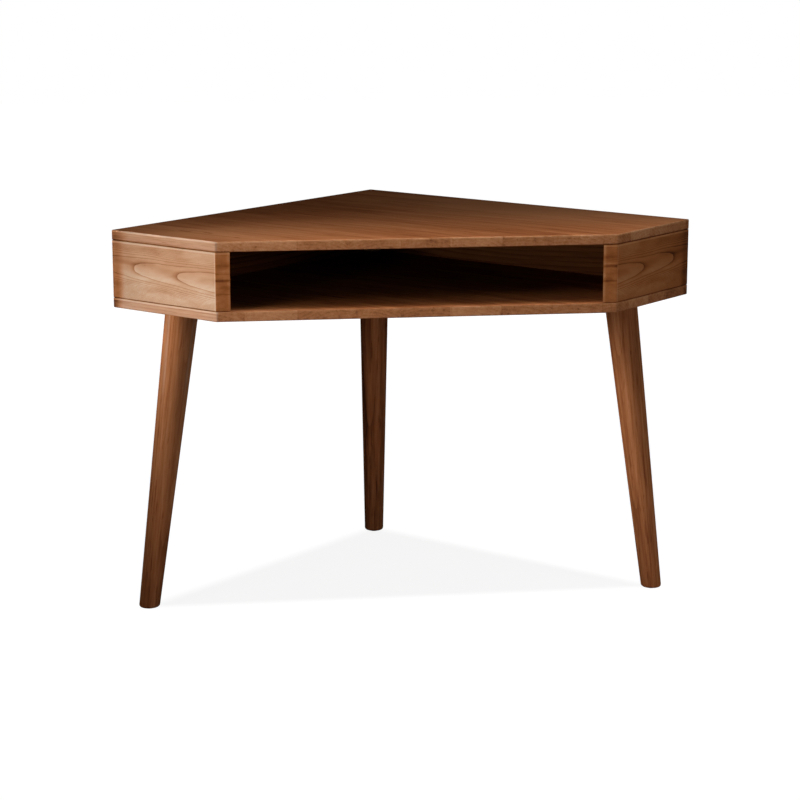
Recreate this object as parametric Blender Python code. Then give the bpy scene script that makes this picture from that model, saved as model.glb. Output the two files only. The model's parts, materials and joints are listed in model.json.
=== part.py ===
"""Corner writing desk: a five-sided carcass with an open cubby, on three tapered legs.

The desk stands in a room's corner. X runs to the right, Y towards the corner, Z up. The
origin is on the floor, under the middle of the desk's box. All sizes are in metres.
"""

import math

import bmesh
import bpy
from mathutils import Matrix, Vector

# Carcass: two equal sides along the walls, two short ends and one long open front.
WALL_SIDE = 0.800
END_WIDTH = 0.265
DESK_HEIGHT = 0.760
CARCASS_HEIGHT = 0.150
TOP_THICKNESS = 0.019
BOTTOM_THICKNESS = 0.019
END_THICKNESS = 0.019
BACK_THICKNESS = 0.012
EDGE_ROUND = 0.002
BLOCK_SIDE = 0.025
BLOCK_CHAMFER = 0.006

# Clearance left between pieces that touch, and around what fits in a hole.
FIT_GAP = 0.0003

# Dowels: thick ones in the end panels, slim ones in the thin back panels.
END_DOWEL_RADIUS = 0.004
END_DOWEL_LENGTH = 0.030
END_DOWEL_COUNT = 2
END_DOWEL_INSET = 0.060
BACK_DOWEL_RADIUS = 0.003
BACK_DOWEL_LENGTH = 0.025
BACK_DOWEL_COUNT = 3
BACK_DOWEL_INSET = 0.090
DOWEL_SEAT = 0.012
DOWEL_CHAMFER = 0.001

# Legs. A foot's centre is its leg's top centre, moved outwards by the splay or the lean.
LEG_TOP_RADIUS = 0.0325
LEG_FOOT_RADIUS = 0.0204
LEG_TOP_CHAMFER = 0.0015
LEG_FOOT_ROUND = 0.005
SIDE_LEG_FROM_END = 0.105
SIDE_LEG_FROM_WALL = 0.083
SIDE_LEG_SPLAY = 0.079
BACK_LEG_INSET = 0.062
BACK_LEG_LEAN = 0.012

# Leg plates: pressed sheet steel with a dished boss, square to the leg's axis.
PLATE_SIDE = 0.070
PLATE_CORNER_RADIUS = 0.008
PLATE_SHEET = 0.002
PLATE_SCREW_SPACING = 0.054
DISH_RADIUS = 0.026
BOSS_RADIUS = 0.020
BOSS_DROP = 0.012

# Hanger bolts and weld nuts.
BOLT_RADIUS = 0.004
BOLT_IN_LEG = 0.036
BOLT_TIP = 0.006
BOLT_TIP_RADIUS = 0.0013
BOLT_PROUD = 0.0008
NUT_HEIGHT = 0.0065
NUT_FLATS = 0.013
NUT_SIDES = 6

# Pan head screws that hold the plates, and countersunk screws through the corner block.
PLATE_SCREW_RADIUS = 0.002
PLATE_SCREW_BITE = 0.0135
PLATE_SCREW_HEAD_RADIUS = 0.00375
PLATE_SCREW_HEAD_HEIGHT = 0.0024
PLATE_SCREW_CROWN_RADIUS = 0.00225
PLATE_SCREW_RIM_HEIGHT = 0.0007
BLOCK_SCREW_RADIUS = 0.00175
BLOCK_SCREW_BITE = 0.006
BLOCK_SCREW_HEAD_RADIUS = 0.0035
BLOCK_SCREW_COUNT = 2
BLOCK_SCREW_INSET = 0.020
BLOCK_SCREW_STAGGER = 0.012
SCREW_TIP = 0.004
RECESS_WIDTH = 0.001
RECESS_SPAN = 0.0036
RECESS_DEPTH = 0.0012

# Glides: a plastic disc on a nail under each foot.
GLIDE_RADIUS = 0.010
GLIDE_THICKNESS = 0.002
GLIDE_CHAMFER = 0.0006
NAIL_RADIUS = 0.001
NAIL_LENGTH = 0.012
NAIL_TIP = 0.002

# Facets, the angle past which an edge shows sharp, and how far a cutter overruns its face.
EDGE_STEPS = 4
FOOT_STEPS = 3
HEAD_STEPS = 2
LEG_SIDES = 48
PLATE_SIDES = 32
GLIDE_SIDES = 24
PEG_SIDES = 12
SHARP_ANGLE = math.radians(35.0)
CUT_OVERRUN = 0.001

# Heights, worked out from the sizes above.
UNDERSIDE = DESK_HEIGHT - CARCASS_HEIGHT
CUBBY_FLOOR = UNDERSIDE + BOTTOM_THICKNESS
CUBBY_CEILING = DESK_HEIGHT - TOP_THICKNESS
PANEL_LOW = CUBBY_FLOOR + FIT_GAP
PANEL_HIGH = CUBBY_CEILING - FIT_GAP
LEG_LOW = GLIDE_THICKNESS + FIT_GAP

# A rounded corner stops short of the sharp one by this much, so the desk's box does too.
CORNER_LOSS = (math.sqrt(2.0) - 1.0) * EDGE_ROUND
DEPTH = (WALL_SIDE + END_WIDTH) / math.sqrt(2.0) - CORNER_LOSS
BACK_CORNER_Y = DEPTH / 2.0 + CORNER_LOSS

# The corner frame has its origin on the floor at the sharp back corner. Its X runs along
# the right wall and its -Y along the left wall.
CORNER = Matrix.Translation((0.0, BACK_CORNER_Y, 0.0)) @ Matrix.Rotation(-math.pi / 4.0, 4, "Z")

# Finishes: colour, roughness, metallic.
WALNUT = ((0.17, 0.085, 0.045), 0.45, 0.0)
WALNUT_DARK = ((0.11, 0.052, 0.027), 0.45, 0.0)
BEECH = ((0.55, 0.38, 0.22), 0.60, 0.0)
ZINC_STEEL = ((0.55, 0.54, 0.50), 0.35, 1.0)
BLACK_STEEL = ((0.05, 0.05, 0.05), 0.40, 1.0)
BROWN_PLASTIC = ((0.05, 0.03, 0.02), 0.50, 0.0)


def empty_scene():
    for old in list(bpy.data.objects):
        bpy.data.objects.remove(old, do_unlink=True)


def material(name, color, roughness, metallic):
    made = bpy.data.materials.new(name)
    made.use_nodes = True
    shader = made.node_tree.nodes["Principled BSDF"]
    shader.inputs["Base Color"].default_value = (*color, 1.0)
    shader.inputs["Roughness"].default_value = roughness
    shader.inputs["Metallic"].default_value = metallic
    made.diffuse_color = (*color, 1.0)
    return made


def link_object(name, bm, smooth=False):
    """Turn a bmesh into a named object in the scene, at the origin."""
    bmesh.ops.recalc_face_normals(bm, faces=bm.faces)
    mesh = bpy.data.meshes.new(name)
    bm.to_mesh(mesh)
    bm.free()
    if smooth:
        mesh.shade_smooth()
        mesh.set_sharp_from_angle(angle=SHARP_ANGLE)
    made = bpy.data.objects.new(name, mesh)
    bpy.context.scene.collection.objects.link(made)
    return made


def make_piece(name, bm, look, parent=None, matrix=None, smooth=False):
    """Make one piece of the desk, with its own material, under a parent or by itself."""
    piece = link_object(name, bm, smooth)
    piece.data.materials.append(material(name, *look))
    piece.parent = parent
    if matrix is not None:
        piece.matrix_basis = matrix
    return piece


def cut(piece, bm):
    """Cut a bmesh in world coordinates out of a piece, with a cutter that never renders."""
    cutter = link_object(piece.name + "_cutter", bm)
    cutter.hide_render = True
    cutter.display_type = "WIRE"
    boolean = piece.modifiers.new("cut", "BOOLEAN")
    boolean.operation = "DIFFERENCE"
    boolean.solver = "EXACT"
    boolean.object = cutter


def add_turned(bm, profile, sides, matrix):
    """Add a solid turned about its own Z from (radius, height) points, end to end."""
    turned = bmesh.new()
    points = [turned.verts.new((radius, 0.0, height)) for radius, height in profile]
    edges = [turned.edges.new(pair) for pair in zip(points, points[1:])]
    bmesh.ops.spin(
        turned, geom=points + edges, cent=(0.0, 0.0, 0.0), axis=(0.0, 0.0, 1.0),
        angle=math.tau, steps=sides, use_merge=True)
    bmesh.ops.remove_doubles(turned, verts=turned.verts, dist=1e-6)
    bmesh.ops.recalc_face_normals(turned, faces=turned.faces)
    bmesh.ops.transform(turned, matrix=matrix, verts=turned.verts)
    scratch = bpy.data.meshes.new("scratch")
    turned.to_mesh(scratch)
    turned.free()
    bm.from_mesh(scratch)
    bpy.data.meshes.remove(scratch)


def clearance_radius(radius, sides=PEG_SIDES):
    """Corner radius of a faceted hole that clears a round peg all the way round."""
    return (radius + FIT_GAP) / math.cos(math.pi / sides)


def add_hole(bm, mouth, bottom, radius):
    """Add the cutter of a blind hole that runs from its mouth to its bottom."""
    inward = (bottom - mouth).normalized()
    start = mouth - inward * CUT_OVERRUN
    end = bottom + inward * FIT_GAP
    middle = Matrix.Translation((start + end) / 2.0)
    turn = inward.to_track_quat("Z", "Y").to_matrix().to_4x4()
    round_radius = clearance_radius(radius)
    bmesh.ops.create_cone(
        bm, cap_ends=True, segments=PEG_SIDES, radius1=round_radius, radius2=round_radius,
        depth=(end - start).length, matrix=middle @ turn)


def wall_point(along_right, along_left, height=0.0):
    """A point in the corner frame, by its distances along the two walls."""
    return Vector((along_right, -along_left, height))


def wall_points(outline, flip):
    """An outline for the right side of the desk, or the same one flipped to the left."""
    return [wall_point(left, right) if flip else wall_point(right, left) for right, left in outline]


def prism(outline, low, high):
    """Extrude an outline in the corner frame from one height to another."""
    bm = bmesh.new()
    base = bm.faces.new([bm.verts.new((point.x, point.y, low)) for point in outline])
    grown = bmesh.ops.extrude_face_region(bm, geom=[base])
    raised = [item for item in grown["geom"] if isinstance(item, bmesh.types.BMVert)]
    bmesh.ops.translate(bm, vec=(0.0, 0.0, high - low), verts=raised)
    return bm


def ease(bm, edges):
    """Round the given edges as a router would."""
    bmesh.ops.bevel(
        bm, geom=edges, offset=EDGE_ROUND, offset_type="OFFSET", segments=EDGE_STEPS,
        profile=0.5, affect="EDGES", clamp_overlap=True, material=-1)


def spread(first, last, count):
    """Evenly spaced places from the first to the last."""
    if count < 2:
        return [(first + last) / 2.0] * count
    return [first + (last - first) * index / (count - 1) for index in range(count)]


def make_board(name, low, high, corner):
    """Top or bottom board: five-sided, with every arris eased."""
    outline = [
        wall_point(0.0, 0.0),
        wall_point(WALL_SIDE, 0.0),
        wall_point(WALL_SIDE, END_WIDTH),
        wall_point(END_WIDTH, WALL_SIDE),
        wall_point(0.0, WALL_SIDE),
    ]
    bm = prism(outline, low, high)
    ease(bm, bm.edges[:])
    return make_piece(name, bm, WALNUT, parent=corner)


def make_end_panel(name, flip, corner):
    """End panel: its front is cut at 45 degrees, flush with the boards' front edge."""
    inner = WALL_SIDE - END_THICKNESS
    outline = [
        (inner, 0.0),
        (WALL_SIDE, 0.0),
        (WALL_SIDE, END_WIDTH),
        (inner, END_WIDTH + END_THICKNESS),
    ]
    bm = prism(wall_points(outline, flip), PANEL_LOW, PANEL_HIGH)
    inner_axis = 1 if flip else 0
    limit = inner + FIT_GAP
    outside = [edge for edge in bm.edges if max(abs(v.co[inner_axis]) for v in edge.verts) > limit]
    ease(bm, outside)
    return make_piece(name, bm, WALNUT, parent=corner)


def back_round(turn, gap=0.0):
    """A point on the rounding of the back corner, by its turn from the wall's face."""
    return (EDGE_ROUND * (1.0 - math.sin(turn)) + gap, EDGE_ROUND * (1.0 - math.cos(turn)))


def make_back_panel(name, flip, corner):
    """Back panel: mitred at the back corner, and ending against the end panel."""
    mitre_gap = FIT_GAP / math.sqrt(2.0)
    mitre_turn = math.pi / 4.0
    end = WALL_SIDE - END_THICKNESS - FIT_GAP
    outline = [
        (EDGE_ROUND, 0.0),
        (end, 0.0),
        (end, BACK_THICKNESS),
        (BACK_THICKNESS + mitre_gap, BACK_THICKNESS),
        back_round(mitre_turn, mitre_gap),
        back_round(mitre_turn / 2.0),
    ]
    bm = prism(wall_points(outline, flip), PANEL_LOW, PANEL_HIGH)
    return make_piece(name, bm, WALNUT_DARK, parent=corner)


def make_corner_block(corner):
    """Corner block: a square batten inside the back corner, glued and screwed."""
    near = BACK_THICKNESS + FIT_GAP
    far = near + BLOCK_SIDE
    outline = [
        (near, near),
        (far, near),
        (far, far - BLOCK_CHAMFER),
        (far - BLOCK_CHAMFER, far),
        (near, far),
    ]
    bm = prism(wall_points(outline, False), PANEL_LOW, PANEL_HIGH)
    return make_piece("corner_block", bm, BEECH, parent=corner)


def dowel_places(flip, rail, seats):
    """Each dowel's place on a line: seats along the wall side, rail across it, in the world."""
    points = []
    for seat in seats:
        pair = (rail, seat) if flip else (seat, rail)
        points.append(CORNER @ wall_point(*pair))
    return points


def add_cross(bm, matrix):
    """Add the cutter of a cross recess that sinks along +Z from the matrix's origin."""
    half = RECESS_WIDTH / 2.0
    reach = RECESS_SPAN / 2.0
    quarter = [(reach, -half), (reach, half), (half, half)]
    ring = []
    for turns in range(4):
        spin = Matrix.Rotation(turns * math.pi / 2.0, 4, "Z")
        ring += [matrix @ spin @ Vector((x, y, -CUT_OVERRUN)) for x, y in quarter]
    face = bm.faces.new([bm.verts.new(point) for point in ring])
    grown = bmesh.ops.extrude_face_region(bm, geom=[face])
    sunk = [item for item in grown["geom"] if isinstance(item, bmesh.types.BMVert)]
    along = matrix.to_3x3() @ Vector((0.0, 0.0, CUT_OVERRUN + RECESS_DEPTH))
    bmesh.ops.translate(bm, vec=along, verts=sunk)


def peg_mesh(name, profile, look, recess_level=None):
    """One mesh for a set of like pegs, with a cross recess in the head where it has one."""
    bm = bmesh.new()
    add_turned(bm, profile, PEG_SIDES, Matrix())
    pattern = make_piece(name, bm, look, smooth=True)
    if recess_level is not None:
        recess = bmesh.new()
        add_cross(recess, Matrix.Translation((0.0, 0.0, recess_level)))
        cut(pattern, recess)
    evaluated = pattern.evaluated_get(bpy.context.evaluated_depsgraph_get())
    mesh = bpy.data.meshes.new_from_object(evaluated)
    for modifier in pattern.modifiers:
        bpy.data.objects.remove(modifier.object, do_unlink=True)
    bpy.data.objects.remove(pattern, do_unlink=True)
    return mesh


def place_pegs(name, mesh, stands):
    """A numbered piece for each stand, whose +Z is the way that the peg is driven."""
    for number, stand in enumerate(stands, start=1):
        peg = bpy.data.objects.new(f"{name}_{number}", mesh)
        bpy.context.scene.collection.objects.link(peg)
        peg.matrix_basis = stand


def make_dowels(name, places, radius, length):
    """A row of dowels below a panel, then a row above it."""
    profile = [
        (0.0, 0.0),
        (radius - DOWEL_CHAMFER, 0.0),
        (radius, DOWEL_CHAMFER),
        (radius, length - DOWEL_CHAMFER),
        (radius - DOWEL_CHAMFER, length),
        (0.0, length),
    ]
    lows = (CUBBY_FLOOR - DOWEL_SEAT, CUBBY_CEILING + DOWEL_SEAT - length)
    stands = [Matrix.Translation((place.x, place.y, low)) for low in lows for place in places]
    place_pegs(name, peg_mesh(name, profile, BEECH), stands)


def at_height(place, height):
    return Vector((place.x, place.y, height))


def make_carcass():
    """The five-sided box: two boards, two end panels, two back panels and their joints."""
    corner = bpy.data.objects.new("back_corner", None)
    bpy.context.scene.collection.objects.link(corner)
    corner.matrix_world = CORNER

    top = make_board("top_board", CUBBY_CEILING, DESK_HEIGHT, corner)
    bottom = make_board("bottom_board", UNDERSIDE, CUBBY_FLOOR, corner)
    top_holes = bmesh.new()
    bottom_holes = bmesh.new()

    end_rail = WALL_SIDE - END_THICKNESS / 2.0
    end_seats = spread(END_DOWEL_INSET, END_WIDTH - END_DOWEL_INSET, END_DOWEL_COUNT)
    back_rail = BACK_THICKNESS / 2.0
    back_seats = spread(BACK_DOWEL_INSET, WALL_SIDE - END_THICKNESS - BACK_DOWEL_INSET, BACK_DOWEL_COUNT)

    rows = []
    for side, flip in (("right", False), ("left", True)):
        end = make_end_panel(side + "_end_panel", flip, corner)
        end_places = dowel_places(not flip, end_rail, end_seats)
        rows.append((side + "_end_dowel", end, end_places, END_DOWEL_RADIUS, END_DOWEL_LENGTH))
        back = make_back_panel(side + "_back_panel", flip, corner)
        back_places = dowel_places(flip, back_rail, back_seats)
        rows.append((side + "_back_dowel", back, back_places, BACK_DOWEL_RADIUS, BACK_DOWEL_LENGTH))

    panel_holes = {}
    for name, panel, places, radius, length in rows:
        make_dowels(name, places, radius, length)
        in_panel = bmesh.new()
        for place in places:
            over = at_height(place, CUBBY_CEILING)
            under = at_height(place, CUBBY_FLOOR)
            add_hole(top_holes, over, at_height(place, CUBBY_CEILING + DOWEL_SEAT), radius)
            add_hole(bottom_holes, under, at_height(place, CUBBY_FLOOR - DOWEL_SEAT), radius)
            add_hole(in_panel, over, at_height(place, CUBBY_CEILING + DOWEL_SEAT - length), radius)
            add_hole(in_panel, under, at_height(place, CUBBY_FLOOR - DOWEL_SEAT + length), radius)
        panel_holes[panel.name] = (panel, in_panel)

    block = make_corner_block(corner)
    make_block_screws(block, panel_holes)
    for panel, holes in panel_holes.values():
        cut(panel, holes)
    cut(top, top_holes)
    return bottom, bottom_holes


def make_block_screws(block, panel_holes):
    """Two screws through the corner block into each back panel, at staggered heights."""
    radius = BLOCK_SCREW_RADIUS
    head = BLOCK_SCREW_HEAD_RADIUS
    length = BLOCK_SIDE + FIT_GAP + BLOCK_SCREW_BITE
    near = BACK_THICKNESS + FIT_GAP
    levels = spread(PANEL_LOW + BLOCK_SCREW_INSET, PANEL_HIGH - BLOCK_SCREW_INSET, BLOCK_SCREW_COUNT)
    profile = [
        (0.0, 0.0),
        (head, 0.0),
        (radius, head - radius),
        (radius, length - SCREW_TIP),
        (0.0, length),
    ]
    loose = 2.0 * FIT_GAP
    countersink = [
        (0.0, -CUT_OVERRUN),
        (head + loose + CUT_OVERRUN, -CUT_OVERRUN),
        (radius + loose, head - radius),
        (radius + loose, BLOCK_SIDE + CUT_OVERRUN),
        (0.0, BLOCK_SIDE + CUT_OVERRUN),
    ]
    stands = []
    block_holes = bmesh.new()
    for side, flip in (("right", False), ("left", True)):
        panel, in_panel = panel_holes[side + "_back_panel"]
        pair = (near + BLOCK_SIDE / 2.0, near + BLOCK_SIDE)
        drive = wall_point(0.0, -1.0)
        stagger = BLOCK_SCREW_STAGGER / 2.0
        if flip:
            pair = (pair[1], pair[0])
            drive = wall_point(-1.0, 0.0)
            stagger = -stagger
        for level in levels:
            place = CORNER @ wall_point(*pair, level + stagger)
            inward = CORNER.to_3x3() @ drive
            stand = Matrix.Translation(place) @ inward.to_track_quat("Z", "Y").to_matrix().to_4x4()
            stands.append(stand)
            add_turned(block_holes, countersink, PEG_SIDES, stand)
            add_hole(in_panel, place + inward * (BLOCK_SIDE + FIT_GAP), place + inward * length, radius)
    place_pegs("block_screw", peg_mesh("block_screw", profile, ZINC_STEEL, 0.0), stands)
    cut(block, block_holes)


def axis_frame(top, foot):
    """A leg's frame: its origin on the underside, its Z up along the leg's axis."""
    up = (top - foot).normalized()
    return Matrix.Translation(top) @ up.to_track_quat("Z", "Y").to_matrix().to_4x4()


def make_leg(side, frame, top, foot):
    """Turned leg: a straight taper, square at the top, cut level at the foot."""
    length = (top - foot).length
    taper = (LEG_TOP_RADIUS - LEG_FOOT_RADIUS) / length
    past_floor = LEG_TOP_RADIUS
    top_radius = LEG_TOP_RADIUS - taper * BOSS_DROP
    below_chamfer = BOSS_DROP + LEG_TOP_CHAMFER
    profile = [
        (0.0, -BOSS_DROP),
        (top_radius - LEG_TOP_CHAMFER, -BOSS_DROP),
        (LEG_TOP_RADIUS - taper * below_chamfer, -below_chamfer),
        (LEG_FOOT_RADIUS - taper * past_floor, -length - past_floor),
        (0.0, -length - past_floor),
    ]
    bm = bmesh.new()
    add_turned(bm, profile, LEG_SIDES, Matrix())
    to_leg = frame.inverted()
    foot_middle = foot.lerp(top, LEG_LOW / UNDERSIDE)
    sliced = bmesh.ops.bisect_plane(
        bm, geom=bm.verts[:] + bm.edges[:] + bm.faces[:], dist=1e-6,
        plane_co=to_leg @ foot_middle, plane_no=to_leg.to_3x3() @ Vector((0.0, 0.0, 1.0)),
        clear_inner=True)
    rim = [item for item in sliced["geom_cut"] if isinstance(item, bmesh.types.BMEdge)]
    bmesh.ops.edgeloop_fill(bm, edges=rim)
    bmesh.ops.bevel(
        bm, geom=rim, offset=LEG_FOOT_ROUND, offset_type="OFFSET", segments=FOOT_STEPS,
        profile=0.5, affect="EDGES", clamp_overlap=True, material=-1)
    leg = make_piece(side + "_leg", bm, WALNUT, matrix=frame, smooth=True)

    holes = bmesh.new()
    leg_top = frame @ Vector((0.0, 0.0, -BOSS_DROP))
    bolt_end = frame @ Vector((0.0, 0.0, -BOSS_DROP - BOLT_IN_LEG))
    add_hole(holes, leg_top, bolt_end, BOLT_RADIUS)
    nail_end = foot_middle + Vector((0.0, 0.0, NAIL_LENGTH - FIT_GAP))
    add_hole(holes, foot_middle, nail_end, NAIL_RADIUS)
    cut(leg, holes)
    return foot_middle


def make_glide(side, foot_middle):
    """Glide: a plastic disc with a nail in the middle, driven up into the foot."""
    nail_top = GLIDE_THICKNESS + NAIL_LENGTH
    profile = [
        (0.0, 0.0),
        (GLIDE_RADIUS - GLIDE_CHAMFER, 0.0),
        (GLIDE_RADIUS, GLIDE_CHAMFER),
        (GLIDE_RADIUS, GLIDE_THICKNESS),
        (NAIL_RADIUS, GLIDE_THICKNESS),
        (NAIL_RADIUS, nail_top - NAIL_TIP),
        (0.0, nail_top),
    ]
    bm = bmesh.new()
    stand = Matrix.Translation((foot_middle.x, foot_middle.y, 0.0))
    add_turned(bm, profile, GLIDE_SIDES, stand)
    return make_piece(side + "_foot_glide", bm, BROWN_PLASTIC, smooth=True)


def plate_outline():
    """Points round the leg plate's square flange, a quarter of them on each rounded corner."""
    quarter = math.pi / 2.0
    to_middle = PLATE_SIDE / 2.0 - PLATE_CORNER_RADIUS
    points = []
    for corner in range(4):
        middle = Matrix.Rotation(corner * quarter, 4, "Z") @ Vector((to_middle, to_middle, 0.0))
        for angle in spread(corner * quarter, (corner + 1) * quarter, PLATE_SIDES // 4):
            reach = Vector((math.cos(angle), math.sin(angle), 0.0)) * PLATE_CORNER_RADIUS
            points.append(middle + reach)
    return points


def plate_circle(radius):
    """Points round a circle of the leg plate, in step with those of its outline."""
    angles = [(place + 0.5) * math.tau / PLATE_SIDES for place in range(PLATE_SIDES)]
    return [Vector((math.cos(angle), math.sin(angle), 0.0)) * radius for angle in angles]


def make_leg_plate(side, turn, frame):
    """Leg plate: flat flange against the underside, dished down to a boss square to the leg."""
    place = frame @ Vector((0.0, 0.0, -BOSS_DROP))
    stand = Matrix.Translation((place.x, place.y, UNDERSIDE)) @ Matrix.Rotation(turn, 4, "Z")
    sheet = Matrix.Translation((0.0, 0.0, PLATE_SHEET))
    flange_low = Matrix.Translation((0.0, 0.0, -FIT_GAP - PLATE_SHEET))
    boss_low = stand.inverted() @ frame @ Matrix.Translation((0.0, 0.0, FIT_GAP - BOSS_DROP))
    flange_high = flange_low @ sheet
    boss_high = boss_low @ sheet

    wall_drop = BOSS_DROP - PLATE_SHEET - 2.0 * FIT_GAP
    wall_slope = math.atan2(wall_drop, DISH_RADIUS - BOSS_RADIUS)
    inside = PLATE_SHEET * math.tan(wall_slope / 2.0)
    outline = plate_outline()
    bore = plate_circle(clearance_radius(BOLT_RADIUS, PLATE_SIDES))
    section = [
        (outline, flange_low),
        (plate_circle(DISH_RADIUS), flange_low),
        (plate_circle(BOSS_RADIUS), boss_low),
        (bore, boss_low),
        (bore, boss_high),
        (plate_circle(BOSS_RADIUS - inside), boss_high),
        (plate_circle(DISH_RADIUS - inside), flange_high),
        (outline, flange_high),
    ]
    bm = bmesh.new()
    rings = [[bm.verts.new(level @ point) for point in points] for points, level in section]
    for low, high in zip(rings, rings[1:] + rings[:1]):
        for at in range(PLATE_SIDES):
            bm.faces.new((low[at - 1], low[at], high[at], high[at - 1]))
    plate = make_piece(side + "_leg_plate", bm, BLACK_STEEL, matrix=stand, smooth=True)

    holes = bmesh.new()
    half = PLATE_SCREW_SPACING / 2.0
    corners = [stand @ Vector((x, y, 0.0)) for x in (-half, half) for y in (-half, half)]
    for point in corners:
        below = point - Vector((0.0, 0.0, FIT_GAP + PLATE_SHEET))
        add_hole(holes, below, point, PLATE_SCREW_RADIUS)
    cut(plate, holes)
    return corners


def make_plate_screws(side, corners, bottom_holes):
    """Four pan head screws, driven up through the plate's corners into the bottom board."""
    radius = PLATE_SCREW_RADIUS
    head = PLATE_SCREW_HEAD_RADIUS
    tall = PLATE_SCREW_HEAD_HEIGHT
    crown = PLATE_SCREW_CROWN_RADIUS
    rim = PLATE_SCREW_RIM_HEIGHT
    seat = 2.0 * FIT_GAP + PLATE_SHEET
    length = seat + PLATE_SCREW_BITE
    profile = [(0.0, -tall)]
    for turn in spread(0.0, math.pi / 2.0, HEAD_STEPS + 1):
        across = crown + (head - crown) * math.sin(turn)
        profile.append((across, -rim - (tall - rim) * math.cos(turn)))
    profile += [
        (head, 0.0),
        (radius, 0.0),
        (radius, length - SCREW_TIP),
        (0.0, length),
    ]
    stands = [Matrix.Translation(point - Vector((0.0, 0.0, seat))) for point in corners]
    name = side + "_plate_screw"
    place_pegs(name, peg_mesh(name, profile, ZINC_STEEL, -tall), stands)
    for point in corners:
        add_hole(bottom_holes, point, point + Vector((0.0, 0.0, PLATE_SCREW_BITE)), radius)


def make_bolt_and_nut(side, frame):
    """Hanger bolt in the top of the leg, and the nut that is welded into the plate's dish."""
    nut_low = PLATE_SHEET + 2.0 * FIT_GAP - BOSS_DROP
    nut_high = nut_low + NUT_HEIGHT
    hexagon = bmesh.new()
    corner_radius = NUT_FLATS / 2.0 / math.cos(math.pi / NUT_SIDES)
    middle = Matrix.Translation((0.0, 0.0, nut_low + NUT_HEIGHT / 2.0))
    bmesh.ops.create_cone(
        hexagon, cap_ends=True, segments=NUT_SIDES, radius1=corner_radius, radius2=corner_radius,
        depth=NUT_HEIGHT, matrix=middle)
    nut = make_piece(side + "_leg_nut", hexagon, ZINC_STEEL, matrix=frame)
    bore = bmesh.new()
    low = frame @ Vector((0.0, 0.0, nut_low))
    high = frame @ Vector((0.0, 0.0, nut_high + CUT_OVERRUN))
    add_hole(bore, low, high, BOLT_RADIUS)
    cut(nut, bore)

    end = -BOSS_DROP - BOLT_IN_LEG
    profile = [
        (0.0, end),
        (BOLT_TIP_RADIUS, end),
        (BOLT_RADIUS, end + BOLT_TIP),
        (BOLT_RADIUS, nut_high + BOLT_PROUD),
        (0.0, nut_high + BOLT_PROUD),
    ]
    bolt = bmesh.new()
    add_turned(bolt, profile, PEG_SIDES, Matrix())
    make_piece(side + "_leg_bolt", bolt, ZINC_STEEL, matrix=frame, smooth=True)


def make_leg_set(side, top, foot, plate_turn, bottom_holes):
    """One leg with its plate, nut, bolt, screws and glide."""
    frame = axis_frame(top, foot)
    foot_middle = make_leg(side, frame, top, foot)
    make_glide(side, foot_middle)
    corners = make_leg_plate(side, plate_turn, frame)
    make_plate_screws(side, corners, bottom_holes)
    make_bolt_and_nut(side, frame)


def main():
    empty_scene()
    bottom, bottom_holes = make_carcass()
    right_leg_place = wall_point(WALL_SIDE - SIDE_LEG_FROM_END, SIDE_LEG_FROM_WALL, UNDERSIDE)
    right_top = CORNER @ right_leg_place
    for side, outward in (("left", -1.0), ("right", 1.0)):
        top = Vector((outward * right_top.x, right_top.y, UNDERSIDE))
        foot = Vector((top.x + outward * SIDE_LEG_SPLAY, top.y, 0.0))
        make_leg_set(side, top, foot, 0.0, bottom_holes)
    top = Vector((0.0, BACK_CORNER_Y - BACK_LEG_INSET, UNDERSIDE))
    foot = Vector((0.0, top.y + BACK_LEG_LEAN, 0.0))
    make_leg_set("back", top, foot, math.pi / 4.0, bottom_holes)
    cut(bottom, bottom_holes)


main()
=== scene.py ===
"""Looks of the corner writing desk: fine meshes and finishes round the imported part.

Everything is in metres, in the part's own frame: X to the right, Y towards the room's
corner, Z up, with the origin on the floor under the middle of the desk's box. The tones
of the wood run from 0, pale, to 1, dark.
"""

import json
import math

import bmesh
import bpy
from mathutils import Matrix, Vector


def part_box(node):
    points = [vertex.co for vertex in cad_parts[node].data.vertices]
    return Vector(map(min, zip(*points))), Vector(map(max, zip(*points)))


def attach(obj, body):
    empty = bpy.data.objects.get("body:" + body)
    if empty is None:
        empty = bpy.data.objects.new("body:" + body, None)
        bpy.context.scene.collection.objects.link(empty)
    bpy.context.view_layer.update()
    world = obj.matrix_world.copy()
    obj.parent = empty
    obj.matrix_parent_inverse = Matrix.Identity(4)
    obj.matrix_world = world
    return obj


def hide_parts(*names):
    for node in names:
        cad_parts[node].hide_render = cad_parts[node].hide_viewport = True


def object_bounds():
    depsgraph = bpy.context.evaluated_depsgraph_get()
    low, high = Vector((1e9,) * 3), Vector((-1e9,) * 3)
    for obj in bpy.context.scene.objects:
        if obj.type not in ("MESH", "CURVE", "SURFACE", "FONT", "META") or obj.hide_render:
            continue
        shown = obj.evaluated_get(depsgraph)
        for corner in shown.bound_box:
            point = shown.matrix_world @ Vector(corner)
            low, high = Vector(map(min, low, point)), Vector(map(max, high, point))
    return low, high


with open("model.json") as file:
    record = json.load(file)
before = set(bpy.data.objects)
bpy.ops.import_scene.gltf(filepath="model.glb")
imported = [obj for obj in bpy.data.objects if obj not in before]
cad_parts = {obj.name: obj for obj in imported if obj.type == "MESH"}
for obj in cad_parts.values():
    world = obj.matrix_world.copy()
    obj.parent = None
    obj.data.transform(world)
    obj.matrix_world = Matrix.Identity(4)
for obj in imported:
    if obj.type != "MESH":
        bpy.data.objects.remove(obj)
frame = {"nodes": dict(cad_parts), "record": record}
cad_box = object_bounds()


# Bottom board: five sides, edge-glued from walnut staves that run parallel to the right
# wall, and oiled. A small router cutter eases its outer arrises, and those that face the
# cubby are only broken.
ROOT_TWO = math.sqrt(2.0)
WALL_SIDE = 0.800
END_WIDTH = 0.265
END_THICKNESS = 0.019
ARRIS_RADIUS = 0.002
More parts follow.
